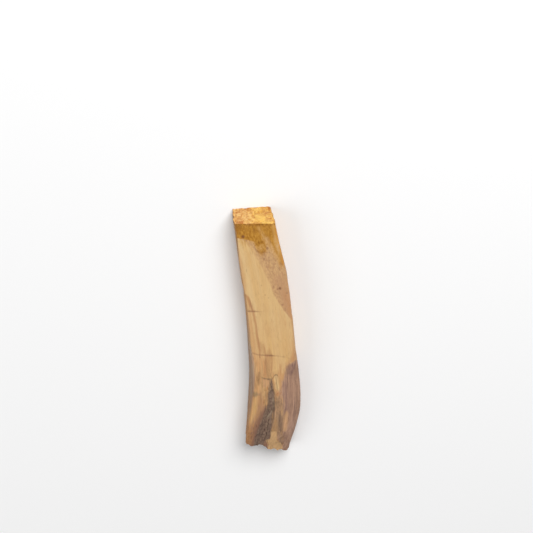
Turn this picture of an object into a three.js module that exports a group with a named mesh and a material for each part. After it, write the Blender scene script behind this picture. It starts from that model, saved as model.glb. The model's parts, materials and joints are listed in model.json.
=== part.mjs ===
// A stick of palo santo, the fragrant wood sold as incense: one piece of wood, split out of a fallen
// trunk and sawn across at one end. It lies on its sawn back, with the sawn end towards +Y, the broken
// end towards -Y and the face with the dark heartwood stain upwards.
import * as THREE from "three";
import { mergeVertices } from "three/addons/utils/BufferGeometryUtils.js";
import { ImprovedNoise } from "three/addons/math/ImprovedNoise.js";

const { clamp, degToRad, lerp, smoothstep } = THREE.MathUtils;

// Driving dimensions, in millimetres. While the wood is shaped, Y is 0 at the tip of the broken end.
const FACE_LENGTH = 105.2; // along the front face, from the broken tip to the sawn end
const END_SLANT = degToRad(12.2); // of the saw cut: the back is longer than the face
const END_SKEW = degToRad(3.8); // of the saw cut: the right side is longer than the left
const STEPS_ACROSS = 26;
const STEPS_ALONG = 52;
const STEPS_DEEP = 14;

// A smooth line through a few [y, value] pairs.
function alongTheStick(pairs) {
  const places = pairs.map((pair) => pair[0]);
  const values = pairs.map((pair) => pair[1]);
  const line = new THREE.CubicInterpolant(places, values, 1, new Float32Array(1));
  const [first, last] = [places[0], places[places.length - 1]];
  return (y) => line.evaluate(clamp(y, first, last))[0];
}

// The outline of the back. It follows the bend of the grain.
const leftEdge = alongTheStick([
  [0, -9.9], [3, -9.7], [10, -9.2], [21, -8.7], [30, -8.2], [37, -8.1], [45, -8.5], [59, -9.2], [70, -10.3],
  [81, -12.1], [92, -13.5], [99, -14.1], [106.5, -14.8],
]);
const rightEdge = alongTheStick([
  [0, 9.3], [5, 10.6], [11, 12.5], [17, 13.9], [24, 14.5], [34, 13.8], [45, 12.3], [59, 10.9], [68, 10],
  [77, 8.8], [88, 6.2], [98.6, 3.55], [108.5, 1.4],
]);
const bend = (y) => (leftEdge(y) + rightEdge(y)) / 2;

// Both walls lean to the right on their way up to the face, which isn't quite parallel to the back.
const leftLean = alongTheStick([
  [0, 0.4], [15, 1.1], [26, 1.7], [46, 1.7], [60, 1.4], [80, 1.3], [95, 1.35], [106.5, 0.85],
]);
const rightLean = alongTheStick([[0, 0], [60, 0], [77, 0.4], [98.6, 1.2], [108.5, 1.6]]);
const thickness = alongTheStick([
  [0, 9.4], [6, 10.8], [15, 12.2], [30, 13.2], [50, 13.5], [75, 13.2], [104, 12.9],
]);
const faceTilt = alongTheStick([[0, -0.05], [30, 0], [50, 0.05], [75, 0.1], [104, 0.145]]);

// How much each long corner is worn round. The sawn ones are nearly sharp.
const cornerRadius = {
  frontLeft: alongTheStick([[0, 1.5], [12, 1.2], [40, 0.7], [60, 0.45], [104, 0.35]]),
  frontRight: alongTheStick([[0, 2.2], [12, 4.6], [30, 4.4], [46, 1.6], [60, 0.5], [104, 0.35]]),
  backLeft: alongTheStick([[0, 2.4], [20, 2.2], [45, 1.2], [104, 0.6]]),
  backRight: alongTheStick([[0, 2.6], [20, 3.6], [45, 1.8], [104, 0.6]]),
};

// The broken end, from left to right: a worn corner, a step where the left half tore off shorter, the tip.
const brokenOutline = alongTheStick([
  [-9.6, 4.2], [-8.4, 3.1], [-6, 2.6], [-2.2, 2.1], [-0.8, 1.2], [0.8, 0.7], [3, 0.2], [5.5, -0.4],
  [7.6, -0.8], [9.3, -0.9],
]);
const FRACTURE_DEPTH = 1.1; // how much the torn bundles of fibres differ in length
const FRACTURE_BUNDLE = 2.3; // width of one of them
const FRACTURE_RECESS = 1.6; // how much shorter the back is than the face
const END_REACH = 14; // how far up the stick the ends' own shapes fade out

// Below this place the face isn't sawn: it is the old weathered outside of the wood.
const WEATHERED_TOP = 46;
const WANE_DROP = 2.3; // how far the weathered face falls away at the right edge
const waneLine = alongTheStick([[0, 4], [12, 5], [24, 5.5], [36, 7.5], [46, 12.5]]);

// The hollow that rot has left along the dark stain, and the flake that has come off at the tip.
const HOLLOW_DEPTH = 1.2;
const HOLLOW_TOP = 34;
const hollowMiddle = alongTheStick([
  [0, -3.2], [4, -2.5], [10, -0.6], [16, 0.8], [21, 2], [27, 1.9], [33, 2.1],
]);
const hollowHalfWidth = alongTheStick([[0, 3], [10, 2.9], [16, 2.6], [21, 2.3], [27, 2], [33, 1.7]]);
const FACE_FLAKE = { middle: 4.2, halfWidth: 3.6, top: 4.6, depth: 0.6 };

// A strip that came away from the sawn back at its left edge, near the broken end.
const BACK_FLAKE = { inner: -4.6, top: 19, depth: 1.3 };

// Ridges along the grain, with their height, width and length.
const relief = {
  splitWall: { height: 0.75, width: 2.7, length: 34 },
  oldFace: { height: 0.85, width: 5.2, length: 14 },
  oldGrain: { height: 0.6, width: 2.3, length: 26 },
  sawnFace: { height: 0.22, width: 7.5, length: 27 },
};

// Ledges on the side walls, where a strip has split away. low and high are shares of the thickness, and
// from and to are places along the stick.
const ledges = {
  left: [
    { depth: 0.8, low: 0.34, high: 0.58, from: 62, to: 84 },
    { depth: 0.8, low: -0.2, high: 0.3, from: 74, to: 96 },
    { depth: 0.7, low: 0.55, high: 0.72, from: 16, to: 44 },
  ],
  right: [
    { depth: 1.2, low: -0.2, high: 0.36, from: 47, to: 90 },
    { depth: 0.7, low: 0.36, high: 0.6, from: 66, to: 78 },
    { depth: 0.9, low: 0.16, high: 0.4, from: 4, to: 30 },
  ],
};
const LEDGE_EDGE = 0.06; // of the thickness: how wide a ledge's slope is
const LEDGE_RUNOUT = 5; // how long a ledge takes to fade at each end
const LEDGE_WANDER = 0.09; // of the thickness: how far its line strays from straight

const noise = new ImprovedNoise();

function ripple({ height, width, length }, across, y, seed) {
  return height * noise.noise(across / width, y / length, seed);
}

function weathered(y) {
  return 1 - smoothstep(y, WEATHERED_TOP - 12, WEATHERED_TOP + 4);
}

// Rises from 0 to 1 before low and falls back after high, over the same run.
function plateau(value, low, high, run) {
  return smoothstep(value, low - run, low) * (1 - smoothstep(value, high, high + run));
}

// How far a side wall stands back from its outline: its split ridges and its ledges.
function wallLoss(side, above, y) {
  const ridges = ripple(relief.splitWall, above * thickness(y), y, side === "left" ? 3.7 : 7.9);
  const height = above + LEDGE_WANDER * noise.noise(y / 17, 2.6, 0.4);
  let loss = ridges * Math.sin(Math.PI * above);
  for (const { depth, low, high, from, to } of ledges[side]) {
    loss += depth * plateau(height, low, high, LEDGE_EDGE) * plateau(y, from, to, LEDGE_RUNOUT);
  }
  return loss;
}

function hollow(x, y) {
  const offset = Math.abs(x - hollowMiddle(y)) / hollowHalfWidth(y);
  const fadeOut = 1 - smoothstep(y, HOLLOW_TOP - 10, HOLLOW_TOP);
  return HOLLOW_DEPTH * (1 - smoothstep(offset, 0.25, 1)) * fadeOut;
}

function faceFlake(x, y) {
  const { middle, halfWidth, top, depth } = FACE_FLAKE;
  const beside = 1 - smoothstep(Math.abs(x - middle), halfWidth - 1, halfWidth);
  return depth * beside * (1 - smoothstep(y, top - 1, top));
}

// How far the face has fallen below its sawn plane, at a place on it.
function faceLoss(x, y) {
  const beyond = Math.max(0, x - waneLine(y)) / (rightEdge(y) - waneLine(y));
  const wane = WANE_DROP * beyond * beyond;
  const across = x - bend(y);
  const old = wane + ripple(relief.oldFace, across, y, 9.3) + ripple(relief.oldGrain, across, y, 1.2);
  const sawn = ripple(relief.sawnFace, across, y, 5.5);
  return lerp(sawn, old, weathered(y)) + hollow(x, y) + faceFlake(x, y);
}

function backLoss(x, y) {
  const { inner, top, depth } = BACK_FLAKE;
  const edge = inner + 1.5 * noise.noise(y / 6, 0.3, 4.1);
  return depth * (1 - smoothstep(x, edge - 1, edge)) * (1 - smoothstep(y, top - 6, top));
}

// Moves a point of a square corner onto a round one. The point is given from the corner, inwards.
function roundCorner(inX, inZ, radius) {
  if (inX >= radius || inZ >= radius) return [inX, inZ];
  const [x, z] = [radius - inX, radius - inZ];
  const scale = Math.max(x, z) / Math.max(Math.hypot(x, z), 1e-6);
  return [radius - x * scale, radius - z * scale];
}

// One section: across and up run from 0 to 1, and the answer is the same kind of pair, with round corners.
function roundSection(across, up, width, height, y) {
  const isRight = across > 0.5;
  const isFront = up > 0.5;
  const corner = (isFront ? "front" : "back") + (isRight ? "Right" : "Left");
  const fromSide = (isRight ? 1 - across : across) * width;
  const fromFace = (isFront ? 1 - up : up) * height;
  const [inX, inZ] = roundCorner(fromSide, fromFace, cornerRadius[corner](y));
  return [isRight ? 1 - inX / width : inX / width, isFront ? 1 - inZ / height : inZ / height];
}

// Where a point lies along the stick: between the torn end and the slanted saw cut, which each bend
// only the wood near them.
function placeAlong(across, along, up) {
  const xAtTip = lerp(leftEdge(0), rightEdge(0), across);
  const depth = (1 - up) * thickness(0);
  const torn = FRACTURE_DEPTH * noise.noise(xAtTip / FRACTURE_BUNDLE, 5.1, depth / FRACTURE_BUNDLE);
  const tip = brokenOutline(xAtTip) + torn + FRACTURE_RECESS * (1 - up);
  const slant = (1 - up) * thickness(FACE_LENGTH) * Math.tan(END_SLANT);
  const skew = (across - 0.5) * (rightEdge(FACE_LENGTH) - leftEdge(FACE_LENGTH)) * Math.tan(END_SKEW);
  const y = along * FACE_LENGTH;
  const nearTip = Math.pow(clamp(1 - y / END_REACH, 0, 1), 2);
  const nearCut = Math.pow(clamp(1 - (FACE_LENGTH - y) / END_REACH, 0, 1), 2);
  return y + tip * nearTip + (slant + skew) * nearCut;
}

// The finished place of one point of the wood. across, along and up run from 0 to 1.
function woodPoint(across, along, up) {
  const y = placeAlong(across, along, up);
  const [left, right] = [leftEdge(y), rightEdge(y)];
  const height = thickness(y);
  const [beside, above] = roundSection(across, up, right - left, height, y);
  const side = beside > 0.5 ? "right" : "left";
  const inwards = side === "right" ? -1 : 1;
  const nearWall = Math.pow(Math.abs(2 * beside - 1), 5);
  const plain = lerp(left + leftLean(y) * above, right + rightLean(y) * above, beside);
  const x = plain + inwards * nearWall * wallLoss(side, above, y);
  const face = height + faceTilt(y) * (x - bend(y)) - faceLoss(x, y);
  const z = lerp(backLoss(x, y), face, above);
  return new THREE.Vector3(x, y, z);
}

// Spreads the steps so that they lie closer together near the corners.
function towardsCorners(share) {
  const centred = 2 * share - 1;
  return (1 + lerp(centred, Math.sin((Math.PI / 2) * centred), 0.55)) / 2;
}

// The wood starts as a block of many faces, and each of its points is moved to its place.
function woodGeometry() {
  let block = new THREE.BoxGeometry(1, 1, 1, STEPS_ACROSS, STEPS_ALONG, STEPS_DEEP);
  block.deleteAttribute("normal");
  block.deleteAttribute("uv");
  block = mergeVertices(block);
  const points = block.attributes.position;
  for (let i = 0; i < points.count; i++) {
    const across = towardsCorners(points.getX(i) + 0.5);
    const along = points.getY(i) + 0.5;
    const up = towardsCorners(points.getZ(i) + 0.5);
    points.setXYZ(i, ...woodPoint(across, along, up));
  }
  block.computeVertexNormals();
  return block;
}

// Puts the origin under the middle of the stick, on the surface it lies on.
function centred(geometry) {
  geometry.computeBoundingBox();
  const middle = geometry.boundingBox.getCenter(new THREE.Vector3());
  return geometry.translate(-middle.x, -middle.y, -geometry.boundingBox.min.z);
}

const stick = new THREE.Mesh(
  centred(woodGeometry()),
  new THREE.MeshStandardMaterial({ color: 0xc79a62, roughness: 0.62, metalness: 0 }),
);
stick.name = "stick";

const part = new THREE.Group();
part.add(stick);
export default part;
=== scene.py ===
"""A stick of palo santo: its grain, resin, weathering and torn fibres, and a pale studio to show it in."""

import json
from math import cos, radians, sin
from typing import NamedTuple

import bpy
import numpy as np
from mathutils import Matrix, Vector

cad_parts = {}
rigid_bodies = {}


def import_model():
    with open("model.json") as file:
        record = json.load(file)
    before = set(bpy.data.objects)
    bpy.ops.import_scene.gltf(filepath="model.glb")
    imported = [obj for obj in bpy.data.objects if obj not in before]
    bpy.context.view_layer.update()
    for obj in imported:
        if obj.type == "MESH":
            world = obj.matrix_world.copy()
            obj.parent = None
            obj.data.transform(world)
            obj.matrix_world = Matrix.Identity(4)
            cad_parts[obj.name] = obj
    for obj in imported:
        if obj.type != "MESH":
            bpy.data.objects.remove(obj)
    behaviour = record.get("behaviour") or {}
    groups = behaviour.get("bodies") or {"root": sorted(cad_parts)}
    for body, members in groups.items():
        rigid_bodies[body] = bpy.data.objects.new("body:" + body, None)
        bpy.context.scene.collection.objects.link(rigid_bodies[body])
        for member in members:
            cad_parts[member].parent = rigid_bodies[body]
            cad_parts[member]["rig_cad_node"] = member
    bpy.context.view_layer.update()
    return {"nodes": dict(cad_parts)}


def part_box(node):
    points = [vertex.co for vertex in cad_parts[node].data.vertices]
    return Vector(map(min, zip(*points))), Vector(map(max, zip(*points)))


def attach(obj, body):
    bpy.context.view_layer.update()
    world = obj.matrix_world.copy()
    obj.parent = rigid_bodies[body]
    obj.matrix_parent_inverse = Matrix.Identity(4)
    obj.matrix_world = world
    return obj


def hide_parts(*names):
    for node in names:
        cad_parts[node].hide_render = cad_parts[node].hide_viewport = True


bl_info = {
    "name": "Palo santo stick",
    "version": (1, 0, 0),
    "blender": (4, 5, 0),
    "location": "View3D > Sidebar > Palo santo",
    "description": "Dresses a plain stick of incense wood with its relief, stains and torn end",
    "category": "Object",
}

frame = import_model()

MM = 0.001
STICK = "stick"
LOW, HIGH = (Vector(corner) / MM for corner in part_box(STICK))
SAWN_END, TORN_END = HIGH.y, LOW.y


class Stain(NamedTuple):
    """A stain of the wood, painted over the ones before it in strokes along the grain.

    A stroke runs through places (y, x, half width) in millimetres, or (x, y, half width) where it runs
    across the grain. The two colours are mixed by one pattern of the grain. Softness and raggedness are the
    widths of the edge, in millimetres, and the stain narrows by its taper for each millimetre of depth. It
    may keep within another stain, or to one side wall: -1 is the left one and 1 the right one.
    """

    colours: tuple
    pattern: str
    softness: float
    raggedness: float
    strength: float
    taper: float
    strokes: tuple
    across: bool = False
    within: str = ""
    wall: int = 0


# Half the width of a stroke that reaches past the side of the stick, in millimetres.
WIDE = 40


def band(start, end):
    """A stroke over the whole width of the stick."""
    return (start, 0, WIDE), (end, 0, WIDE)


def right_of(*edge):
    """A stroke over all that lies to the right of an edge (y, x)."""
    return tuple((y, x + WIDE, WIDE) for y, x in edge)


def left_of(*edge):
    """A stroke over all that lies to the left of an edge (y, x)."""
    return tuple((y, x - WIDE, WIDE) for y, x in edge)


STAINS = {
    "warmed": Stain(("gold", "tan"), "Streaks", 8, 2, 0.3, 0, (
        band(-60, 3),
    )),
    "tanned": Stain(("tan", "orange"), "Streaks", 2.5, 1.6, 0.8, 0, (
        band(-60, -15.5),
        left_of((-60, 2.5), (-9, 2)),
    )),
    "browned": Stain(("orange", "brown"), "Streaks", 6, 3, 0.8, 0, (
        band(-60, -41),
    )),
    "resin": Stain(("heart", "heart_dark"), "Mottle", 0.45, 0.2, 1, 0, (
        right_of((0, 18), (7.5, 12), (8.5, 10.5), (12.5, 7.2), (17.5, 4.2), (19, 3.2), (23, 1.8), (29, -0.7),
                 (37, -5), (42.5, -8.7), (43.7, -10.2), (44.5, -13), (45.5, -20), (80, -20)),
    )),
    "resin_rim": Stain(("tan", "yellow"), "Streaks", 0.7, 0.4, 0.5, 0.2, (
        ((25, 2, 0.3), (29, 0, 0.8), (37, -4.2, 0.9), (40.5, -6.5, 0.8), (42.5, -8, 0.5), (43.5, -9.7, 0.2)),
    )),
    "rose": Stain(("rose", "heart_dark"), "Specks", 2.5, 1.2, 0.8, 0, (
        ((-3, 12, 4), (12, 10.5, 3.5), (18, 8.5, 3), (25, 6, 3), (29, 5.5, 1)),
    ), within="resin"),
    "rose_deep": Stain(("orange", "rose"), "Specks", 1.5, 0.8, 0.85, 0, (
        ((2, 12, 1), (8, 11.5, 1.5), (13, 9.5, 1.8), (18, 8.5, 1.5), (21, 7.5, 0.5)),
    ), within="resin"),
    "amber": Stain(("amber", "amber_dark"), "Mottle", 1.5, 0.8, 1, 0, (
        ((37.5, -2, 0.3), (38.5, -2, 1.3), (41, -2.3, 2.3), (43, -3, 2.8), (44, -5, 4), (44.5, -8, 6.6),
         (46.5, -6, 9), (49, -2, 16), (64, -2, 20)),
        ((32.5, 6.7, 0.3), (35, 6, 1), (41, 4, 2), (44.5, 3, 2.5), (50, 1.5, 3.5)),
    ), within="resin"),
    "amber_eye": Stain(("heart", "amber"), "Mottle", 0.6, 0.2, 0.5, 0.3, (
        ((39, -2.3, 0.6), (40, -2.3, 1.2), (41, -2.3, 1.4), (42, -2.3, 1)),
    ), within="resin"),
    "amber_wall": Stain(("amber_light", "amber"), "Streaks", 3, 3, 0.9, 0.6, (
        band(34, 70),
    ), wall=1),
    "amber_deep": Stain(("amber_dark", "resin_dark"), "Mottle", 1, 0.8, 0.75, 0, (
        ((46, -12.5, 0.8), (50, -13, 2.2), (64, -13, 3)),
        ((47.5, -5, 0.5), (48.5, -5, 0.8), (49.5, -5, 0.4)),
        ((50, -5, 2.5), (51, -5, 4), (60, -5, 4)),
    ), within="resin"),
    "amber_thin": Stain(("amber_light", "gold"), "Mottle", 0.8, 0.5, 0.55, 0.3, (
        ((37, 6, 0.3), (40, 5.3, 0.9), (44, 4.3, 1), (48, 3.2, 0.8), (53, 2, 0.8)),
    ), within="resin"),
    "eye": Stain(("amber_dark", "resin_dark"), "Mottle", 0.6, 0.15, 0.6, 0.3, (
        ((-5, 41, 0.1), (-4.5, 42, 0.4), (-3.5, 42.7, 0.6), (-2, 43, 0.6), (-1, 42.3, 0.4), (-0.5, 41, 0.1)),
        ((-4.5, 39.5, 0.1), (-3.5, 38.5, 0.3), (-2.5, 38, 0.35), (-1.5, 38.3, 0.25), (-0.5, 39.5, 0.1)),
    ), across=True),
    "pale_vein": Stain(("heart", "amber_light"), "Mottle", 1.2, 0.6, 0.6, 0.3, (
        ((35.5, 4.5, 0.7), (37.5, 3.6, 1.1), (41, 1.6, 1.1), (44.5, -0.6, 1), (48, -2.8, 0.6),
         (49.5, -3.5, 0.2)),
    ), within="resin"),
    "pale_edge": Stain(("heart", "amber_light"), "Mottle", 0.9, 0.5, 0.8, 0.3, (
        ((38.5, 5.3, 0.3), (40, 5, 0.9), (42.5, 4.3, 1.1), (44.5, 3.7, 0.7), (46, 3.3, 0.2)),
    ), within="resin"),
    "orange_rim": Stain(("orange_deep", "amber"), "Streaks", 0.5, 0.3, 0.85, 0.02, (
        ((32, 7.4, 0.1), (34, 7, 0.6), (36.5, 6.4, 0.5), (38.5, 5.9, 0.2), (44, 4.7, 0.15), (47, 4, 0.3),
         (55, 3.3, 0.3)),
    ), within="resin"),
    # The whole left wall is painted darker than the right one: the split wood's own colour with painted shade
    # in it, the shade of the side that faces away from the light.
    "shaded_left_wall": Stain(("split", "split_dark_and_shade"), "Streaks", 0.6, 0.8, 0.8, 0, (
        band(-70, 64),
    ), wall=-1),
    "fresh_wall": Stain(("tan", "orange"), "Streaks", 3, 1, 0.85, 0.1, (
        band(2.5, 36),
    ), wall=-1),
    "amber_left": Stain(("amber", "amber_dark"), "Streaks", 3, 3, 0.8, 0.4, (
        band(44, 70),
    ), wall=-1),
    "right_wall": Stain(("tan", "orange"), "Streaks", 7, 6, 0.6, 0, (
        band(-40, 10),
    ), wall=1),
    "face_rims": Stain(("tan", "orange"), "Streaks", 0.5, 0.4, 0.6, 0.1, (
        ((20, -9, 0.3), (23, -9.4, 0.6), (30, -10.5, 0.6), (33.5, -11, 0.6), (42, -12.5, 0.4)),
        ((-9.5, 11.5, 1.3), (-3.5, 11.6, 0.8), (1, 11.4, 0.7), (6, 11, 0.5), (8.5, 10.5, 0.3)),
        ((23, 9, 0.2), (28, 8.3, 0.5), (33, 7, 0.5)),
    )),
    "tan_side": Stain(("tan", "orange"), "Streaks", 0.7, 0.5, 0.55, 0.4, (
        ((-14, -6, 2.2), (-6, -6.4, 2.2), (-1, -7, 2.2), (8, -8, 1.9), (11.5, -8.3, 1.7), (14.5, -8.7, 1.3),
         (17, -9.3, 0.8)),
    )),
    "growth_line": Stain(("orange", "brown"), "Streaks", 0.5, 0.25, 0.9, 0, (
        ((-9, -3, 0.15), (-6.5, -3, 0.3), (-2, -3.6, 0.4), (0.5, -4.2, 0.35), (6.5, -4.8, 0.4),
         (9, -5.3, 0.4), (11.5, -5.9, 0.45), (13.5, -6.5, 0.55), (15.5, -7.2, 0.65), (18, -8.2, 0.7),
         (19.5, -9.3, 0.4)),
    )),
    "tongue": Stain(("orange", "brown"), "Fibres", 0.7, 0.4, 0.33, 0.2, (
        ((-18.5, -0.2, 1.3), (-14.5, 0.3, 1.5), (-11, 0.6, 1.4), (-8.5, 0.8, 1.2), (-5.5, 0.7, 0.5)),
        ((-7.5, -1.2, 0.3), (-5.5, -1.9, 1.2), (-3.5, -2.5, 1.4), (-2, -2.9, 0.6)),
    )),
    "tongue_rim": Stain(("brown", "orange"), "Fibres", 0.5, 0.4, 0.55, 0.2, (
        ((-18, -0.8, 0.1), (-15, -0.6, 0.4), (-8, -0.4, 0.45), (-5.5, -1, 0.35), (-3, -1.7, 0.1)),
        ((-16.5, 1.8, 0.1), (-11, 2.1, 0.4), (-8, 2.1, 0.45), (-6.5, 1.5, 0.35), (-4.5, 0.9, 0.15)),
    )),
    "orange_streaks": Stain(("orange", "tan"), "Fibres", 0.6, 0.6, 0.8, 0.1, (
        ((-24.5, -4.2, 0.4), (-22, -4.2, 0.8), (-19.5, -4.2, 0.7), (-10, -4.3, 0.2)),
        ((-27.5, -3.3, 0.3), (-25.5, -3.2, 1.1), (-22, -3.1, 1.1), (-19.5, -3.1, 0.3)),
        ((-22, 3.8, 0.3), (-16, 5.6, 0.9), (-12, 5.8, 0.3)),
        ((-50, -8.8, 0.4), (-45.5, -7.7, 1.1), (-37.5, -7, 1.1), (-34.5, -7.3, 0.5)),
    )),
    "gold_streaks": Stain(("gold", "tan"), "Fibres", 0.8, 0.8, 0.55, 0.1, (
        ((-40, -6.4, 0.8), (-37, -5.9, 1.3), (-34.5, -5.4, 1.6), (-31.5, -5.1, 1.5), (-29, -5, 1.2),
         (-27, -5.3, 0.6)),
    )),
    "olive_streaks": Stain(("olive", "brown"), "Fibres", 0.5, 0.4, 0.7, 0.15, (
        ((-38, -8.2, 0.5), (-30, -7, 0.5), (-20, -5.6, 0.4), (-12, -5.6, 0.2)),
        ((-22, -3.3, 0.15), (-20.5, -3.4, 0.6), (-17.5, -3.4, 0.6), (-15.5, -3.3, 0.15)),
        ((-33, -0.6, 0.3), (-29, -0.2, 0.4), (-24, -0.2, 0.2)),
    )),
    "olive_spot": Stain(("olive", "rot_light"), "Specks", 0.9, 0.4, 0.8, 0.2, (
        ((-12, -25.5, 1.3), (-7, -25.8, 1.3), (-4.5, -26, 1), (-3, -26.2, 0.2)),
    ), across=True),
    "old_skin": Stain(("skin", "skin_light"), "Streaks", 0.9, 1.2, 0.92, 0.3, (
        right_of((-60, 5.8), (-52, 6), (-49, 6.6), (-37, 6.8), (-31.5, 7), (-29, 6.7), (-28, 6), (-24.5, 5.5),
                 (-20.5, 6.4), (-17.5, 7.9), (-14, 8.3), (-12.5, 8.7), (-11.7, 9.6), (-11, 11),
                 (-10, 13.7), (-9, 18)),
    )),
    "skin_rim": Stain(("rose", "orange"), "Streaks", 1.2, 1, 0.7, 0.1, (
        ((-13.5, 8.6, 0.3), (-11.5, 9.2, 0.8), (-10, 11, 1.5), (-8.5, 12.2, 1.5), (-6, 12.6, 0.9),
         (-4, 12.6, 0.3)),
    )),
    "skin_blotch": Stain(("skin_dark", "skin"), "Streaks", 0.8, 0.6, 0.55, 0.15, (
        ((-19, 9.2, 0.3), (-17.5, 9.7, 0.7), (-15.5, 10.5, 1.4), (-13.5, 10.9, 1.8), (-12, 11.2, 1.3)),
        ((-40, 11.5, 0.2), (-36, 12, 0.6), (-28, 11.6, 0.2)),
        ((-36, 8.8, 0.4), (-33, 8.4, 1.2), (-29, 8, 1), (-25, 7.7, 1), (-22, 7.6, 0.9), (-20, 7.8, 0.2)),
    )),
    "skin_pale": Stain(("skin_pink", "skin_light"), "Streaks", 0.8, 0.8, 0.85, 0.15, (
        ((-49, 10, 0.4), (-44, 10.4, 1.3), (-40.5, 10.8, 1.3), (-37.5, 11, 0.4)),
        ((-50, 6.2, 0.3), (-48, 5.6, 1), (-46, 5.4, 0.8), (-45, 5.3, 0.3)),
    )),
    "grey_skin": Stain(("grey", "skin"), "Streaks", 0.6, 0.4, 0.85, 0.05, (
        left_of((-50, -12), (-44.5, -9.8), (-41.5, -8.6), (-36.5, -7.6), (-32, -6.9), (-26, -6.1),
                (-23, -5.4), (-17.5, -5), (-12, -5.4), (-7, -6.2), (-2, -7.6), (0.5, -8.6), (3, -14),
                (5, -30)),
    )),
    "flaked": Stain(("patch", "pale"), "Fibres", 0.3, 0.3, 0.85, 0.3, (
        ((-25, 4.7, 0.4), (-23, 4.5, 0.85), (-20.5, 4.3, 0.85), (-18.5, 4, 0.95), (-17, 3.9, 0.6)),
    )),
    "flaked_dull": Stain(("tan", "rose"), "Fibres", 0.5, 0.4, 0.8, 0.3, (
        ((-23, -0.5, 1), (-20.5, -0.5, 1.6), (-19, -0.3, 1.8)),
        ((-44, 7.8, 0.3), (-43, 7.8, 0.8), (-39.5, 8, 1.2), (-37.5, 8, 1), (-35.5, 8.5, 0.7),
         (-34, 8.6, 0.2)),
    )),
    "pink_tip": Stain(("orange", "rose"), "Fibres", 0.5, 0.4, 0.75, 0.3, (
        ((-28, 4.4, 0.4), (-26, 4.4, 1), (-24.5, 4.4, 0.5)),
    )),
    "brown_corner": Stain(("orange", "brown"), "Fibres", 1.2, 1, 0.8, 0.1, (
        ((-60, -8, 3.5), (-50, -8, 2.8), (-45, -7.8, 2), (-40, -8, 0.8)),
    )),
    "rot_border": Stain(("orange", "rot_brown"), "Fibres", 1, 0.8, 0.75, 0.3, (
        ((-54, -7, 0.8), (-45, -6, 1.5), (-42, -5.2, 1.7), (-38, -4, 1.8), (-34, -2.8, 1.8), (-29, -2.6, 1.3),
         (-25, -2.6, 0.3)),
    )),
    "rot_edge": Stain(("rot_brown", "brown_dark"), "Fibres", 1.2, 0.9, 0.85, 0.3, (
        ((-56, -4.8, 2.2), (-50.5, -4.7, 2), (-46, -4.3, 1.7), (-42, -3.7, 1.6), (-38, -2.8, 1.3),
         (-34.5, -1.4, 1), (-31.5, 0, 0.5)),
        ((-60, 0, 2.5), (-51, 0, 2), (-49, 0, 1)),
    )),
    "speckled": Stain(("speckle", "speckle_dark"), "Specks", 0.8, 0.9, 0.8, 0.3, (
        ((-52, 6.4, 0.2), (-50, 6.4, 0.7), (-46, 5.8, 1), (-44, 5, 1.6), (-42, 4.2, 2.3), (-38.5, 4.6, 2.2),
         (-34.5, 4.7, 1.9), (-32.5, 5.1, 1.7), (-29, 5.2, 1.7), (-27, 4.5, 0.5)),
    )),
    "rot_gold": Stain(("olive", "orange"), "Specks", 0.6, 0.6, 0.6, 0.3, (
        ((-44.5, 3, 1.3), (-43, 3.2, 1.2), (-40.5, 3.6, 1), (-37.5, 3.7, 0.4)),
    )),
    "rot": Stain(("rot", "rot_light"), "Specks", 0.75, 0.8, 0.95, 0.3, (
        ((-55, -4.2, 2.6), (-50.5, -3.4, 2.3), (-49, -2.9, 2.4), (-48.5, -2.1, 3), (-47.5, -1.7, 3.3),
         (-45, -1.3, 3.1), (-43.5, -1, 3), (-40.5, -0.3, 2.7), (-36.5, 0.5, 2.1), (-33.5, 1.5, 2),
         (-31, 2, 1.7), (-27, 1.8, 1.5), (-25, 1.9, 1.2), (-21, 1.9, 0.7), (-19, 1.9, 0.2)),
    )),
    "rot_streak": Stain(("rot", "speckle_dark"), "Specks", 0.7, 0.7, 0.65, 0.3, (
        ((-44.5, 5.9, 0.2), (-43, 5.9, 0.5), (-40, 5.8, 0.8), (-37.5, 5.8, 0.8), (-35, 5.7, 0.3)),
    )),
    "rot_pale": Stain(("rot_pale", "rot_light"), "Fibres", 0.35, 0.3, 0.7, 0.3, (
        ((-38, -0.2, 0.3), (-36.5, 0.9, 0.6), (-35.5, 1.7, 0.5), (-34.5, 2.3, 0.3)),
        ((-33, 3, 0.2), (-30, 2.8, 0.3), (-28, 2.6, 0.1)),
    )),
    "low_patch": Stain(("patch", "tan"), "Fibres", 0.3, 0.3, 0.85, 0.3, (
        ((-58, 3.7, 3.4), (-52.5, 3.7, 3.4), (-51, 3.4, 3.2), (-50, 2.6, 2.9), (-48.5, 1.9, 2.5),
         (-48, 2.9, 1.4), (-44, 2.9, 1.35)),
    )),
    "blade_marks": Stain(("brown", "brown_dark"), "Mottle", 0.3, 0.05, 0.75, 0.5, (
        ((-8.5, 11.7, 0.15), (-7.5, 11.7, 0.35), (-5, 11.7, 0.35), (-3.5, 11.7, 0.15), (-1.5, 11.8, 0.02)),
        ((-6.2, -6.9, 0.15), (-5.7, -7.3, 0.3), (-4.7, -7.4, 0.25), (-4.2, -7.8, 0.2), (-2, -7.9, 0.25),
         (-0.5, -8.1, 0.4), (2, -8, 0.4), (3, -8.2, 0.2), (5, -8.3, 0.15), (7.5, -8.7, 0.1),
         (9.5, -9.2, 0.02)),
    ), across=True),
    "deep_mark": Stain(("olive", "rot"), "Mottle", 0.35, 0.1, 0.7, 0.5, (
        ((-2.7, -17.8, 0.1), (-1.6, -18.6, 0.3), (0.5, -19.1, 0.4), (2, -19, 0.4), (2.7, -18.2, 0.35),
         (3, -17.2, 0.3), (4, -16.8, 0.3), (4.7, -17.2, 0.2), (5.2, -18, 0.05)),
    ), across=True),
}

# All these places are counted from a point on the stick that lies this far below its sawn end.
ZERO_PLACE = 54.4

# A stain that keeps to a side wall ends where the surface faces sideways less squarely than this, and it
# ends there this fast, in millimetres.
WALL_EDGE = 0.5
WALL_SHARPNESS = 4

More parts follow.
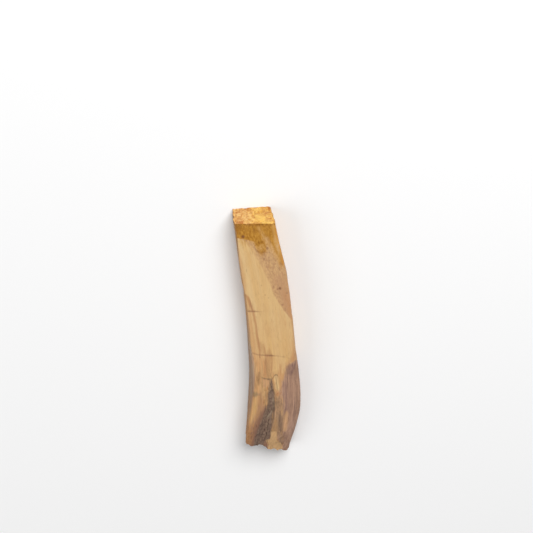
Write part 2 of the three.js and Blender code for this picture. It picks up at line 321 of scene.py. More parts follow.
# Small dark knots, as (x, y, radius) in millimetres, and how fast they narrow below the face.
KNOTS = (
    (-10, 45, 0.8), (0.2, 40.5, 0.3), (-1, 35.5, 0.25), (1, 35, 0.2), (5.5, 22.5, 0.5), (4.5, 22, 0.2),
    (8.5, 20.5, 0.2), (6.5, 15, 0.2), (-2.3, 23.5, 0.1), (-0.7, 19.3, 0.1), (0.7, 18, 0.1),
)
KNOT_TAPER = 0.3

# A point that lies less than this below the highest one beside it is still on the face, in millimetres.
FACE_UNEVENNESS = 1.5

# The layers of fibres rise by this for each millimetre to the right.
LAYER_SLOPE = 0.6

# A stain runs further in some layers than in others, in waves of (radians for each millimetre, share,
# start). A share of 1 is worth this reach. The waves begin at the first depth below the face and are full
# at the second. The reach and the depths are in millimetres.
LAYER_WAVES = ((1.3, 1, 0), (3.1, 0.7, 1), (6.7, 0.5, 2))
LAYER_REACH = 2.4
LAYER_DEPTHS = (1, 5)


class Pattern(NamedTuple):
    """A noise in the wood, and how often it repeats in a millimetre across, along and through the stick."""

    repeats: tuple
    detail: float = 2
    roughness: float = 0.5
    shift: float = 0


GRAIN = {
    "Fibres": Pattern((3.2, 0.12, 3.2), 4, 0.6, 0),
    "Streaks": Pattern((1.3, 0.06, 1.3), 5, 0.62, 1),
    "Bands": Pattern((0.28, 0.02, 0.28), 3, 0.5, 2),
    "Mottle": Pattern((1.1, 0.7, 1.1), 6, 0.72, 3),
    "Specks": Pattern((1.9, 0.8, 1.9), 5, 0.7, 4),
}
STAIN_EDGE = Pattern((1.1, 0.16, 1.1), 5, 0.68, 11)
END_GRAIN = {
    "ring wobble": Pattern((0.15, 0.1, 0.15), 3, shift=0.4),
    "blotches": Pattern((0.26, 0.1, 0.2), 5, 0.7, 5.4),
    "spots": Pattern((0.75, 0.3, 0.45), 4, 0.65, 6.4),
    "scratches": Pattern((4, 0.3, 0.25), 3, shift=7.4),
}
RELIEF = {
    "ridges": Pattern((1.5, 0.06, 1.5), 4),
    "seams": Pattern((0.5, 0.03, 0.5), 1, shift=4.4),
    "open seams": Pattern((0.35, 0.05, 0.35), shift=8.3),
    "pits": Pattern((2, 0.7, 2), 3, shift=9.4),
    "chips": Pattern((0.5, 0.3, 0.5), 4, 0.6, 6.3),
    "bundles": Pattern((0.7, 0.02, 1.4), 3, 0.6, 2.4),
}

# How often the pores, the pores that the saw cut and the splinters of the torn end repeat in a millimetre
# across, along and through the stick.
PORES = (2.6, 0.2, 2.6)
CUT_PORES = (3, 0.1, 3)
SPLINTERS = (0.5, 0.02, 1.1)

# Where the growth rings have their middle, seen from the middle of the back, and how far they wander, in
# millimetres. Their waves are in radians for each millimetre.
PITH = (-14, 0, -30)
RING_WANDER = 6
RING_WAVES = 3.4

# Where across the sawn end the pink begins and is full, and how far that border wanders, in millimetres.
PINK_SIDE = (1, -5)
PINK_WANDER = 16

# Where along the stick the weathering begins and is full, and where the tear does, in millimetres.
WEATHERED = (-5, -20)
TORN = (-40, -46)

# How squarely a surface faces sideways, up or down, or along the stick, where it begins to count as a
# wall, as flat or as the torn end, and where it is one in full.
WALL_FACING = (0.45, 0.85)
FLAT_FACING = (0.7, 0.95)
END_FACING = (0.25, 0.65)

# A face belongs to the saw cut if it faces the end at least this squarely and lies less than this from it,
# in millimetres.
CUT_FACING = 0.85
CUT_REACH = 8

# How far chips and smudges of resin reach from the saw cut, in millimetres.
CHIP_REACH = 1.4

# How deep some stains and the pits of the rot lie below the surface round them, and from where to where
# inside the stain they go down, in millimetres.
SUNKEN = {"flaked": 0.18, "flaked_dull": 0.12, "low_patch": 0.18, "blade_marks": 0.1}
SUNKEN_EDGE = (-0.15, 0.35)
PIT_DEPTH = 0.25
PIT_EDGE = (-0.8, 0.8)

# How rough the face is where it isn't weathered. A split wall and weathered wood are 1.
FACE_ROUGHNESS = 0.1

# The waves that the saw left on the back, in radians for each millimetre.
SAW_WAVES = 3.1

# The tear is this shallow, as a share, above the first height, and full below the second, in millimetres.
FACE_TEAR = 0.3
TEAR_HEIGHTS = (12, 9)

# How strongly the fibres show in fresh and in weathered wood.
CONTRAST = (0.24, 0.95)


def sRGB(red, green, blue):
    """A colour given as a picture gives it, from 0 to 255, turned into the renderer's linear one."""
    shares = [value / 255 for value in (red, green, blue)]
    return [((share + 0.055) / 1.055) ** 2.4 if share > 0.04045 else share / 12.92 for share in shares]


def colour_property(name, description, *rgb):
    return bpy.props.FloatVectorProperty(
        name=name, description=description, subtype="COLOR", min=0, max=1, default=sRGB(*rgb)
    )


def length_property(name, description, millimetres):
    return bpy.props.FloatProperty(
        name=name, description=description, unit="LENGTH", precision=5, min=0, default=millimetres * MM
    )


class WoodSettings(bpy.types.PropertyGroup):
    """The wood's colours and how deep its relief is."""

    pale: colour_property("Pale wood", "Fresh sapwood", 215, 181, 129)
    yellow: colour_property("Yellow wood", "Yellower bands in the sapwood", 211, 173, 117)
    gold: colour_property("Golden wood", "Wood with a little resin", 216, 168, 98)
    tan: colour_property("Tan wood", "Wood that has begun to weather", 200, 158, 111)
    orange: colour_property("Orange wood", "Growth line and stained streaks", 186, 136, 90)
    orange_deep: colour_property("Deep orange", "Resin at the sharp edge of the face", 200, 134, 56)
    brown: colour_property("Brown wood", "Wood gone brown near the torn end", 158, 112, 78)
    brown_dark: colour_property("Dark brown wood", "Its darkest fibres", 126, 90, 70)
    # The split wall colours darken the whole left wall: partly the split wood's own colour, partly painted
    # shade.
    split: colour_property("Split wall", "Side where the wood was split", 178, 138, 100)
    split_dark_and_shade: colour_property("Dark split wall", "Its darker fibres", 142, 104, 78)
    olive: colour_property("Olive wood", "Greenish brown streaks", 152, 124, 84)
    heart: colour_property("Heartwood", "Wood beside the resin", 208, 168, 118)
    heart_dark: colour_property("Dark heartwood", "Specks in it", 179, 137, 98)
    rose: colour_property("Rose heartwood", "Its pink part", 190, 144, 108)
    amber: colour_property("Resin", "Wood soaked with resin", 193, 139, 54)
    amber_dark: colour_property("Dark resin", "Where the resin is thick", 158, 104, 25)
    amber_light: colour_property("Light resin", "Where the resin is thin", 204, 154, 82)
    resin_dark: colour_property("Darkest resin", "Beside the sawn end", 134, 84, 28)
    sawn: colour_property("Sawn end", "End grain, fresh from the saw", 233, 187, 92)
    sawn_pink: colour_property("Pink sawn end", "Its paler, pinker part", 232, 187, 114)
    sawn_dark: colour_property("Dark sawn end", "Its pores and resin", 186, 114, 42)
    skin: colour_property("Old skin", "Weathered outside of the wood", 152, 118, 101)
    skin_light: colour_property("Light skin", "Paler fibres in it", 169, 134, 112)
    skin_dark: colour_property("Dark skin", "Blotches on it", 128, 98, 91)
    skin_pink: colour_property("Pink skin", "Its palest fibres", 182, 144, 124)
    grey: colour_property("Grey skin", "Outside of the wood where it is weathered most", 176, 154, 130)
    rot: colour_property("Rotten wood", "Dark decayed streak", 102, 81, 72)
    rot_light: colour_property("Rotten fibres", "Paler fibres in it", 134, 112, 95)
    rot_pale: colour_property("Dry rot", "Its palest spots", 176, 160, 132)
    rot_brown: colour_property("Rot edge", "Purple-brown border of the rot", 136, 102, 88)
    speckle: colour_property("Speckled wood", "Wood beside the rot", 174, 138, 107)
    speckle_dark: colour_property("Dark specks", "Specks of rot in it", 134, 107, 86)
    patch: colour_property("Flaked patch", "Where the old skin has come off", 204, 168, 122)
    knot: colour_property("Knot", "Small dark knots", 108, 64, 46)
    fibre_depth: length_property("Fibre depth", "Ridges of the fibres on a split wall", 0.3)
    crack_depth: length_property("Crack depth", "Drying cracks in the old skin", 0.35)
    tear_depth: length_property("Tear depth", "How much the fibres of the torn end differ in length", 1.1)
    saw_depth: length_property("Saw mark depth", "Waves that the saw left across the back", 0.05)
    chip_depth: length_property("Chip depth", "Chips along the edges of the sawn end", 0.4)


# The photo's width in pixels, and the width of a pixel on the stick in millimetres.
PICTURE_WIDTH = 533
PIXEL = 0.42

# What the camera aims at, in millimetres: across the stick, below its sawn end and above the floor.
AIM_ACROSS = -0.15
AIM_BELOW_SAW = 22.4
AIM_HEIGHT = 13


class StageSettings(bpy.types.PropertyGroup):
    """The camera, the lights and the floor."""

    tilt: bpy.props.FloatProperty(
        name="Camera tilt", description="Lean of the camera from overhead towards the sawn end",
        unit="ROTATION", default=radians(20),
    )
    distance: bpy.props.FloatProperty(
        name="Camera distance", description="From the camera to the stick's face", unit="LENGTH", default=1.2
    )
    view_width: bpy.props.FloatProperty(
        name="View width", description="Width of what the camera sees at the stick", unit="LENGTH",
        default=PICTURE_WIDTH * PIXEL * MM,
    )
    key_power: bpy.props.FloatProperty(
        name="Key light", description="Power of the large soft light", unit="POWER", default=12
    )
    fill_power: bpy.props.FloatProperty(
        name="Fill light", description="Power of the light opposite it", unit="POWER", default=2.5
    )
    sky: bpy.props.FloatProperty(name="Sky", description="Strength of the even light all round", default=0.28)
    floor: colour_property("Floor", "The pale floor", 245, 245, 245)


class Nodes:
    """Adds nodes to a tree. Where an input is another node's output it is linked, otherwise it is set."""

    def __init__(self, tree):
        self.tree = tree

    def add(self, kind, inputs=None, **options):
        node = self.tree.nodes.new(kind)
        for name, value in options.items():
            setattr(node, name, value)
        self.fill(node.inputs, inputs or {})
        return node

    def fill(self, sockets, values):
        for key, value in values.items():
            if isinstance(value, bpy.types.NodeSocket):
                self.tree.links.new(value, sockets[key])
            else:
                sockets[key].default_value = value

    def math(self, operation, *values):
        return self.add("ShaderNodeMath", dict(enumerate(values)), operation=operation).outputs[0]

    def times(self, first, second):
        return self.math("MULTIPLY", first, second)

    def plus(self, base, value, share):
        """The base with a share of the value added."""
        return self.math("MULTIPLY_ADD", value, share, base)

    def centred(self, value):
        """A value from 0 to 1, turned into one that swings about 0."""
        return self.math("SUBTRACT", value, 0.5)

    def vector(self, operation, *values):
        return self.add("ShaderNodeVectorMath", dict(enumerate(values)), operation=operation).outputs[0]

    def parts(self, vector):
        return self.add("ShaderNodeSeparateXYZ", {0: vector}).outputs

    def noise(self, place, pattern):
        inputs = {
            "Vector": self.vector("MULTIPLY", place, pattern.repeats), "W": pattern.shift, "Scale": 1.0,
            "Detail": pattern.detail, "Roughness": pattern.roughness,
        }
        return self.add("ShaderNodeTexNoise", inputs, noise_dimensions="4D").outputs[0]

    def cells(self, place, repeats):
        inputs = {"Vector": self.vector("MULTIPLY", place, repeats), "Scale": 1.0}
        return self.add("ShaderNodeTexVoronoi", inputs).outputs

    def ramp(self, value, start, end, low=0.0, high=1.0):
        """Rises smoothly from low to high while the value goes from start to end."""
        inputs = {"Value": value, "From Min": start, "From Max": end, "To Min": low, "To Max": high}
        return self.add("ShaderNodeMapRange", inputs, interpolation_type="SMOOTHSTEP").outputs[0]

    def blend(self, factor, first, second, mode="MIX"):
        node = self.add("ShaderNodeMix", data_type="RGBA", blend_type=mode)
        sockets = {socket.name: socket for socket in node.inputs if socket.enabled}
        self.fill(sockets, {"Factor": factor, "A": as_colour(first), "B": as_colour(second)})
        return next(socket for socket in node.outputs if socket.enabled)


def as_colour(value):
    return value if isinstance(value, bpy.types.NodeSocket) else (*value, 1.0)


def smooth_line(points, places, step=0.1, rounding=6, margin=2):
    """The line through the points (place, value), with its corners rounded, read at the places.

    The step and the margin past the line's ends are in millimetres, and the rounding is in steps.
    """
    at, value = np.array(points, float).T
    steps = np.arange(at[0] - margin, at[-1] + margin, step)
    straight = np.interp(steps, at, value)
    kernel = np.hanning(2 * rounding + 1) / np.hanning(2 * rounding + 1).sum()
    rounded = np.convolve(np.pad(straight, rounding, mode="edge"), kernel, mode="valid")
    return np.interp(places, steps, rounded)


def inside_strokes(strokes, along, across):
    """How far inside the nearest stroke each place is, in millimetres. It is negative outside."""
    depth = np.full(len(along), -np.inf)
    for stroke in strokes:
        middle = smooth_line([(a, b) for a, b, _ in stroke], along)
        half_width = smooth_line([(a, c) for a, _, c in stroke], along)
        from_side = half_width - np.abs(across - middle)
        from_end = np.minimum(along - stroke[0][0], stroke[-1][0] - along)
        depth = np.maximum(depth, np.minimum(from_side, from_end))
    return depth


def inside_spots(spots, x, y):
    return np.max([radius - np.hypot(x - at_x, y - at_y) for at_x, at_y, radius in spots], axis=0)


def rows_of(items, name):
    """A vector that each vertex or face has, as three rows x, y and z."""
    flat = np.empty(len(items) * 3, np.float32)
    items.foreach_get(name, flat)
    return flat.reshape(-1, 3).T


def places_of(mesh):
    """The vertices of a mesh as three rows x, y and z, in millimetres."""
    return rows_of(mesh.vertices, "co") / MM


def measured_rows(measure, rows=25, reach=2, clear_torn=4, clear_sawn=5):
    """Places along the stick, clear of its ends, and a measure of the solid's x and z near each of them."""
    x, y, z = places_of(frame["nodes"][STICK].data)
    places = np.linspace(TORN_END + clear_torn, SAWN_END - clear_sawn, rows)
    near = [np.abs(y - place) < reach for place in places]
    return places, [measure(x[one], z[one]) for one in near]


def grain_bend(y, degree=6):
    """How far the grain has bent sideways at each place along the stick, from the solid's own outline."""
    places, middles = measured_rows(lambda x, z: (x.min() + x.max()) / 2)
    return np.polyval(np.polyfit(places, middles, degree), y)


def fibre_ends(layer, depth):
    """How much further a stain runs in each layer of fibres below the face, in millimetres."""
    waves = sum(height * np.sin(rate * layer + start) for rate, height, start in LAYER_WAVES)
    return LAYER_REACH * waves * np.interp(depth, LAYER_DEPTHS, (0, 1))


def keep(mesh, name, values, kind="FLOAT", domain="POINT"):
    """Stores values on a mesh as an attribute that its nodes can read."""
    attribute = mesh.attributes.new(name, kind, domain)
    attribute.data.foreach_set("vector" if kind == "FLOAT_VECTOR" else "value", np.ravel(values))


def mark_stains(mesh):
    """Stores where each point lies in the wood, and how far inside each stain it is."""
    x, y, z = places_of(mesh)
    depth = np.maximum(np.interp(y, *measured_rows(lambda x, z: z.max())) - FACE_UNEVENNESS - z, 0)
    facing_x = rows_of(mesh.vertex_normals, "vector")[0]
    straight = x - grain_bend(y)
    keep(mesh, "wood_place", np.stack([straight, y, z], 1), "FLOAT_VECTOR")
    y = y + ZERO_PLACE - SAWN_END + fibre_ends(z + LAYER_SLOPE * straight, depth)
    for name, stain in STAINS.items():
        along, across = (x, y) if stain.across else (y, x)
        inside = inside_strokes(stain.strokes, along, across) - stain.taper * depth
        if stain.wall:
            inside = np.minimum(inside, WALL_SHARPNESS * (stain.wall * facing_x - WALL_EDGE))
        keep(mesh, "stain_" + name, inside)
    keep(mesh, "stain_knots", inside_spots(KNOTS, x, y) - KNOT_TAPER * depth)


def mark_sawn_end(mesh):
    """Stores which faces the saw has cut at the end, and how far each point lies below their plane."""
    normals, centres = rows_of(mesh.polygons, "normal").T, rows_of(mesh.polygons, "center").T / MM
    sawn = (normals[:, 1] > CUT_FACING) & (centres[:, 1] > SAWN_END - CUT_REACH)
    keep(mesh, "sawn_end", sawn, domain="FACE")
    saw = np.median(normals[sawn], axis=0)
    keep(mesh, "from_saw", np.median(centres[sawn] @ saw) - saw @ places_of(mesh))


class ReliefNodes(Nodes):
    """Nodes that press the fine relief of the wood into its surface, in metres."""

    def __init__(self, tree, wood):
        super().__init__(tree)
        self.wood = wood
        self.place = self.stored("wood_place", "FLOAT_VECTOR")
        self.at = self.parts(self.place)
        self.normal = self.add("GeometryNodeInputNormal").outputs[0]
        self.facing = self.parts(self.normal)

    def stored(self, name, kind="FLOAT"):
        inputs = {"Name": name}
        return self.add("GeometryNodeInputNamedAttribute", inputs, data_type=kind).outputs["Attribute"]

    def faces(self, axis, limits, way):
        """How squarely the surface faces one way along an axis, from 0 to 1."""
        return self.ramp(self.facing[axis], *(way * limit for limit in limits))

    def height(self):
        """How far the surface is raised, as seen from outside."""
        weathered = self.ramp(self.at["Y"], *WEATHERED)
        on_wall = self.ramp(self.math("ABSOLUTE", self.facing["X"]), *WALL_FACING)
        on_back = self.faces("Z", FLAT_FACING, -1)
        on_face = self.faces("Z", FLAT_FACING, 1)
        sawn_smooth = self.math("MAXIMUM", on_back, self.math("SUBTRACT", on_face, weathered))
        rough = self.math("SUBTRACT", self.math("MAXIMUM", on_wall, weathered), sawn_smooth)
        rough = self.math("MAXIMUM", rough, self.times(on_face, FACE_ROUGHNESS))

        ridges = self.math("SUBTRACT", self.noise(self.place, RELIEF["ridges"]), 0.6)
        height = self.times(self.times(ridges, rough), 2 * self.wood.fibre_depth)
        height = self.plus(height, self.cracks(rough), -self.wood.crack_depth)
        pits = self.ramp(self.noise(self.place, RELIEF["pits"]), 0.42, 0.62)
        rotten = self.ramp(self.stored("stain_rot"), *PIT_EDGE)
        height = self.plus(height, self.times(rotten, pits), -PIT_DEPTH * MM)
        chips = self.ramp(self.noise(self.place, RELIEF["chips"]), 0.48, 0.66)
        by_the_saw = self.ramp(self.stored("from_saw"), CHIP_REACH, 0)
        height = self.plus(height, self.times(chips, by_the_saw), -self.wood.chip_depth)
        for name, depth in SUNKEN.items():
            sunken = self.ramp(self.stored("stain_" + name), *SUNKEN_EDGE)
            height = self.plus(height, sunken, -depth * MM)
        waves = self.math("SINE", self.times(self.at["Y"], SAW_WAVES))
        waves = self.times(self.math("ADD", waves, -1.0), on_back)
        return self.plus(height, waves, self.wood.saw_depth / 2)

    def cracks(self, rough):
        """Thin lines along the grain that open and close."""
        from_seam = self.math("ABSOLUTE", self.centred(self.noise(self.place, RELIEF["seams"])))
        open_seam = self.ramp(self.noise(self.place, RELIEF["open seams"]), 0.44, 0.56)
        return self.times(self.ramp(from_seam, 0.016, 0.002), self.times(open_seam, rough))

    def tear(self):
        """How far each bundle of fibres at the torn end was pulled back."""
        torn = self.times(self.faces("Y", END_FACING, -1), self.ramp(self.at["Y"], *TORN))
        torn = self.times(torn, self.ramp(self.at["Z"], *TEAR_HEIGHTS, low=FACE_TEAR))
        splinters = self.parts(self.cells(self.place, SPLINTERS)["Color"])["X"]
        bundles = self.plus(self.noise(self.place, RELIEF["bundles"]), self.centred(splinters), 0.45)
        tear = self.times(self.math("MAXIMUM", self.math("SUBTRACT", bundles, 0.4), 0.0), torn)
        return self.times(tear, 2 * self.wood.tear_depth)


def relief_tree(wood):
    """The geometry nodes of the relief."""
    tree = bpy.data.node_groups.new("Wood relief", "GeometryNodeTree")
    tree.is_modifier = True
    for way in ("INPUT", "OUTPUT"):
        tree.interface.new_socket("Geometry", in_out=way, socket_type="NodeSocketGeometry")
    nodes = ReliefNodes(tree, wood)
    raised = nodes.add("ShaderNodeVectorMath", {0: nodes.normal, "Scale": nodes.height()}, operation="SCALE")
    torn = nodes.add("ShaderNodeCombineXYZ", {"Y": nodes.tear()})
    offset = nodes.vector("ADD", raised.outputs[0], torn.outputs[0])
    solid = nodes.add("NodeGroupInput").outputs[0]
    moved = nodes.add("GeometryNodeSetPosition", {"Geometry": solid, "Offset": offset})
    nodes.add("NodeGroupOutput", {"Geometry": moved.outputs[0]})
    return tree


def new_group(name, inputs, outputs):
    """A shader group with its sockets. A place is a vector in millimetres, and the others are numbers."""
    group = bpy.data.node_groups.new(name, "ShaderNodeTree")
    for way, sockets in (("INPUT", inputs), ("OUTPUT", outputs)):
        for socket in sockets:
            kind = "NodeSocketVector" if socket == "Place" else "NodeSocketFloat"
            group.interface.new_socket(socket, in_out=way, socket_type=kind)
    return group


def grain_group():
    """A shader group for the wood's own patterns, which run along Y, the way of the fibres."""
    group = new_group("Wood grain", ("Place",), (*GRAIN, "Pores", "Height"))
    nodes = Nodes(group)
    place = nodes.add("NodeGroupInput").outputs["Place"]
    outputs = {name: nodes.noise(place, pattern) for name, pattern in GRAIN.items()}
    crowding = nodes.ramp(outputs["Mottle"], 0.4, 0.6, 0.06, 0.24)
    from_pore = nodes.math("SUBTRACT", nodes.cells(place, PORES)["Distance"], crowding)
    outputs["Pores"] = nodes.ramp(from_pore, 0.05, -0.05)
    height = nodes.plus(nodes.times(outputs["Specks"], 0.04), outputs["Fibres"], 0.12)
    outputs["Height"] = nodes.plus(height, outputs["Pores"], -0.06)
    nodes.add("NodeGroupOutput", outputs)
    return group


def stain_group():
    """A shader group that turns the distance inside a stain into a mask with an edge along the fibres."""
    group = new_group("Stain edge", ("Place", "Inside", "Softness", "Raggedness"), ("Mask",))
    nodes = Nodes(group)
    given = nodes.add("NodeGroupInput").outputs
    wander = nodes.times(nodes.centred(nodes.noise(given["Place"], STAIN_EDGE)), 4.0)
    share = nodes.math("DIVIDE", nodes.plus(given["Inside"], wander, given["Raggedness"]), given["Softness"])
    nodes.add("NodeGroupOutput", {"Mask": nodes.ramp(share, -1, 1)})
    return group


def end_grain_group():
    """A shader group for the sawn end: growth rings, resin blotches, cut pores and saw scratches."""
    group = new_group("End grain", ("Place",), ("Dark", "Pink", "Height"))
    nodes = Nodes(group)
    place = nodes.add("NodeGroupInput").outputs["Place"]
    wobble, blotches, spots, scratches = (nodes.noise(place, pattern) for pattern in END_GRAIN.values())
    from_pith = nodes.vector("MULTIPLY", nodes.vector("SUBTRACT", place, PITH), (1, 0, 1))
    radius = nodes.add("ShaderNodeVectorMath", {0: from_pith}, operation="LENGTH").outputs["Value"]
    rings = nodes.math("SINE", nodes.times(nodes.plus(radius, wobble, RING_WANDER), RING_WAVES))
    dark = nodes.plus(nodes.ramp(blotches, 0.44, 0.64, 0, 0.6), nodes.ramp(rings, 0.2, 1), 0.16)
    dark = nodes.plus(dark, nodes.ramp(spots, 0.44, 0.62), 0.55)
    pores = nodes.ramp(nodes.cells(place, CUT_PORES)["Distance"], 0.35, 0.15)
    pores = nodes.times(pores, nodes.ramp(spots, 0.35, 0.6))
    dark = nodes.plus(dark, pores, 0.25)
    pink = nodes.ramp(nodes.plus(nodes.parts(place)["X"], nodes.centred(blotches), PINK_WANDER), *PINK_SIDE)
    height = nodes.plus(nodes.times(scratches, 0.07), pores, -0.06)
    nodes.add("NodeGroupOutput", {"Dark": dark, "Pink": pink, "Height": height})
    return group


class WoodNodes(Nodes):
    """The nodes of the wood's material, which read its stains from the mesh."""

    def __init__(self, tree, wood):
        super().__init__(tree)
        self.wood = wood
        self.place = self.stored("wood_place", "Vector")
        self.stain_edge = stain_group()
        self.pattern = self.add("ShaderNodeGroup", {"Place": self.place}, node_tree=grain_group()).outputs
        self.masks = {}

    def stored(self, attribute, output="Fac"):
        return self.add("ShaderNodeAttribute", attribute_name=attribute).outputs[output]

    def mask(self, name, softness, raggedness):
        inputs = {
            "Place": self.place, "Inside": self.stored("stain_" + name), "Softness": softness,
            "Raggedness": raggedness,
        }
        return self.add("ShaderNodeGroup", inputs, node_tree=self.stain_edge).outputs["Mask"]

    def stained(self):
        """The colour of the sapwood with every stain over it."""
        colour = self.blend(self.ramp(self.pattern["Bands"], 0.4, 0.65), self.wood.pale, self.wood.yellow)
        for name, stain in STAINS.items():
            mask = self.mask(name, stain.softness, stain.raggedness)
            if stain.within:
                mask = self.times(mask, self.masks[stain.within])
            self.masks[name] = mask
            first, second = (getattr(self.wood, shade) for shade in stain.colours)
            mixed = self.blend(self.ramp(self.pattern[stain.pattern], 0.38, 0.62), first, second)
            colour = self.blend(self.times(mask, stain.strength), colour, mixed)
        knots = self.mask("knots", softness=0.5, raggedness=0.1)
        return self.blend(self.times(knots, 0.85), colour, self.wood.knot)

    def shaded(self, colour, weathered):
        """The colour with the grain's own light and dark."""
        contrast = self.ramp(weathered, 0, 1, *CONTRAST)
        shade = self.plus(1.0, self.centred(self.pattern["Fibres"]), contrast)
        shade = self.plus(shade, self.centred(self.pattern["Streaks"]), contrast)
        shade = self.plus(shade, self.centred(self.pattern["Specks"]), 0.14)
        blotches = self.times(self.centred(self.pattern["Mottle"]), self.masks["old_skin"])
        shade = self.plus(shade, blotches, 0.5)
        shade = self.plus(shade, self.pattern["Pores"], -0.14)
        grey = self.add("ShaderNodeCombineColor", {0: shade, 1: shade, 2: shade}).outputs[0]
        return self.blend(1.0, colour, grey, "MULTIPLY")

    def smudged(self, colour):
        """The colour with smudges of resin beside the saw cut."""
        smudges = self.ramp(self.pattern["Mottle"], 0.42, 0.55, 0, 0.6)
        smudges = self.times(self.ramp(self.stored("from_saw"), CHIP_REACH, 0), smudges)
        return self.blend(smudges, colour, self.wood.resin_dark)

    def roughness(self, weathered):
        """Resin is glossier than the wood, and weathered wood is duller."""
        roughness = self.plus(0.62, self.masks["amber"], -0.2)
        roughness = self.plus(roughness, weathered, 0.2)
        return self.plus(roughness, self.centred(self.pattern["Fibres"]), 0.3)


def wood_material(name, wood):
    """The wood of the stick: stained along its sides, and end grain where the saw has cut it."""
    material = bpy.data.materials.new(name)
    material.use_nodes = True
    nodes = WoodNodes(material.node_tree, wood)
    stained = nodes.stained()
    weathered = nodes.math("MAXIMUM", nodes.masks["tanned"], nodes.masks["old_skin"])
    side = nodes.smudged(nodes.shaded(stained, weathered))
    cut = nodes.add("ShaderNodeGroup", {"Place": nodes.place}, node_tree=end_grain_group()).outputs
    sawn = nodes.blend(cut["Dark"], nodes.blend(cut["Pink"], wood.sawn, wood.sawn_pink), wood.sawn_dark)
    sawn_end = nodes.stored("sawn_end")
    side_height, cut_height = nodes.pattern["Height"], cut["Height"]
    height = nodes.add("ShaderNodeMix", {"Factor": sawn_end, "A": side_height, "B": cut_height})
    bump = nodes.add("ShaderNodeBump", {"Height": height.outputs[0], "Strength": 0.7, "Distance": MM})
    nodes.fill(material.node_tree.nodes["Principled BSDF"].inputs, {
        "Base Color": nodes.blend(sawn_end, side, sawn),
        "Roughness": nodes.roughness(weathered),
        "Normal": bump.outputs[0],
        "Specular IOR Level": 0.25,
    })
    return material


def select_only(thing):
    bpy.ops.object.select_all(action="DESELECT")
    thing.select_set(True)
    bpy.context.view_layer.objects.active = thing


class OBJECT_OT_palo_santo_wood(bpy.types.Operator):
    """Makes the wood: the solid's own form with fine relief pressed into it"""

    bl_idname = "object.palo_santo_wood"
    bl_label = "Palo santo wood"

    def execute(self, context):
        wood = context.scene.palo_santo_wood
        select_only(frame["nodes"][STICK])
        bpy.ops.object.duplicate()
        piece = context.active_object
        piece.name = "palo_santo_wood"
        del piece["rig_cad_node"]
        bpy.ops.object.mode_set(mode="EDIT")
        bpy.ops.mesh.select_all(action="SELECT")
        bpy.ops.mesh.remove_doubles(threshold=0.005 * MM)
        bpy.ops.mesh.tris_convert_to_quads(face_threshold=radians(70), shape_threshold=radians(70))
        bpy.ops.mesh.customdata_custom_splitnormals_clear()
        bpy.ops.mesh.select_all(action="DESELECT")
        bpy.ops.mesh.select_mode(type="EDGE")
        bpy.ops.mesh.edges_select_sharp(sharpness=radians(52))
        bpy.ops.transform.edge_crease(value=0.9)
        bpy.ops.object.mode_set(mode="OBJECT")
        rounded = piece.modifiers.new("Subdivision", "SUBSURF")
        rounded.levels = rounded.render_levels = 2
        bpy.ops.object.modifier_apply(modifier=rounded.name)
        mark_stains(piece.data)
        mark_sawn_end(piece.data)
        relief = piece.modifiers.new("Relief", "NODES")
        relief.node_group = relief_tree(wood)
        bpy.ops.object.modifier_apply(modifier=relief.name)
        bpy.ops.object.shade_smooth_by_angle(angle=radians(42))
        piece.data.materials.clear()
        piece.data.materials.append(wood_material("palo_santo_wood", wood))
        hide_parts(STICK)
        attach(piece, "root")
        return {"FINISHED"}


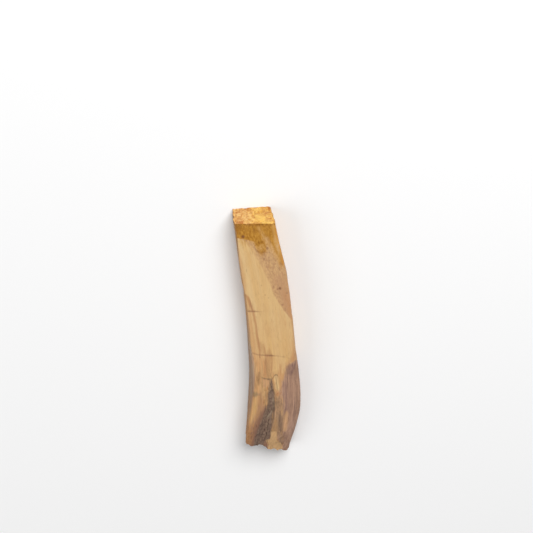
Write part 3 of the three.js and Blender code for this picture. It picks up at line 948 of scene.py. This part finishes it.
class SCENE_OT_palo_santo_stage(bpy.types.Operator):
    """Sets the pale floor, the soft lights and the camera"""

    bl_idname = "scene.palo_santo_stage"
    bl_label = "Palo santo stage"

    def execute(self, context):
        stage = context.scene.palo_santo_stage
        self.add_floor(stage)
        self.add_light("key", place=(0.3, 0.7, 0.85), size=0.8, power=stage.key_power)
        self.add_light("fill", place=(-0.7, -0.1, 0.7), size=0.7, power=stage.fill_power)
        self.add_sky(context.scene, stage)
        self.add_camera(context.scene, stage)
        context.scene.view_settings.view_transform = "Standard"
        return {"FINISHED"}

    def add_floor(self, stage):
        bpy.ops.object.select_all(action="DESELECT")
        bpy.ops.mesh.primitive_plane_add(size=8, location=(0, 0, 0))
        floor = bpy.context.active_object
        floor.name = "floor"
        material = bpy.data.materials.new("floor")
        material.use_nodes = True
        shader = material.node_tree.nodes["Principled BSDF"]
        shader.inputs["Base Color"].default_value = (*stage.floor, 1)
        shader.inputs["Roughness"].default_value = 0.8
        floor.data.materials.append(material)

    def add_light(self, name, place, size, power):
        bpy.ops.object.light_add(type="AREA", location=place)
        lamp = bpy.context.active_object
        lamp.name = name
        lamp.data.size = size
        lamp.data.energy = power
        lamp.rotation_euler = (-Vector(place)).to_track_quat("-Z", "Y").to_euler()

    def add_sky(self, scene, stage):
        sky = bpy.data.worlds.new("sky")
        sky.use_nodes = True
        background = sky.node_tree.nodes["Background"]
        background.inputs["Color"].default_value = (1, 1, 1, 1)
        background.inputs["Strength"].default_value = stage.sky
        scene.world = sky

    def add_camera(self, scene, stage):
        aim = Vector((AIM_ACROSS, SAWN_END - AIM_BELOW_SAW, AIM_HEIGHT)) * MM
        away = Vector((0, sin(stage.tilt), cos(stage.tilt)))
        bpy.ops.object.camera_add(location=aim + away * stage.distance, rotation=(-stage.tilt, 0, 0))
        camera = bpy.context.active_object
        camera.data.sensor_width = 36
        camera.data.lens = camera.data.sensor_width * stage.distance / stage.view_width
        scene.camera = camera


class VIEW3D_PT_palo_santo(bpy.types.Panel):
    """Lists the stick's operators and settings in the 3D view's sidebar"""

    bl_label = "Palo santo stick"
    bl_idname = "VIEW3D_PT_palo_santo"
    bl_space_type = "VIEW_3D"
    bl_region_type = "UI"
    bl_category = "Palo santo"

    def draw(self, context):
        for operator, group in STEPS:
            self.layout.operator(operator.bl_idname)
            settings = getattr(context.scene, group)
            for name in settings.bl_rna.properties.keys():
                if name not in ("rna_type", "name"):
                    self.layout.prop(settings, name)


STEPS = (
    (OBJECT_OT_palo_santo_wood, "palo_santo_wood"),
    (SCENE_OT_palo_santo_stage, "palo_santo_stage"),
)
CLASSES = (WoodSettings, StageSettings, *(operator for operator, _ in STEPS), VIEW3D_PT_palo_santo)


def register():
    for one in CLASSES:
        bpy.utils.register_class(one)
    bpy.types.Scene.palo_santo_wood = bpy.props.PointerProperty(type=WoodSettings)
    bpy.types.Scene.palo_santo_stage = bpy.props.PointerProperty(type=StageSettings)


def unregister():
    del bpy.types.Scene.palo_santo_stage
    del bpy.types.Scene.palo_santo_wood
    for one in reversed(CLASSES):
        bpy.utils.unregister_class(one)


def main():
    register()
    bpy.ops.object.palo_santo_wood()
    bpy.ops.scene.palo_santo_stage()


if __name__ == "__main__":
    main()
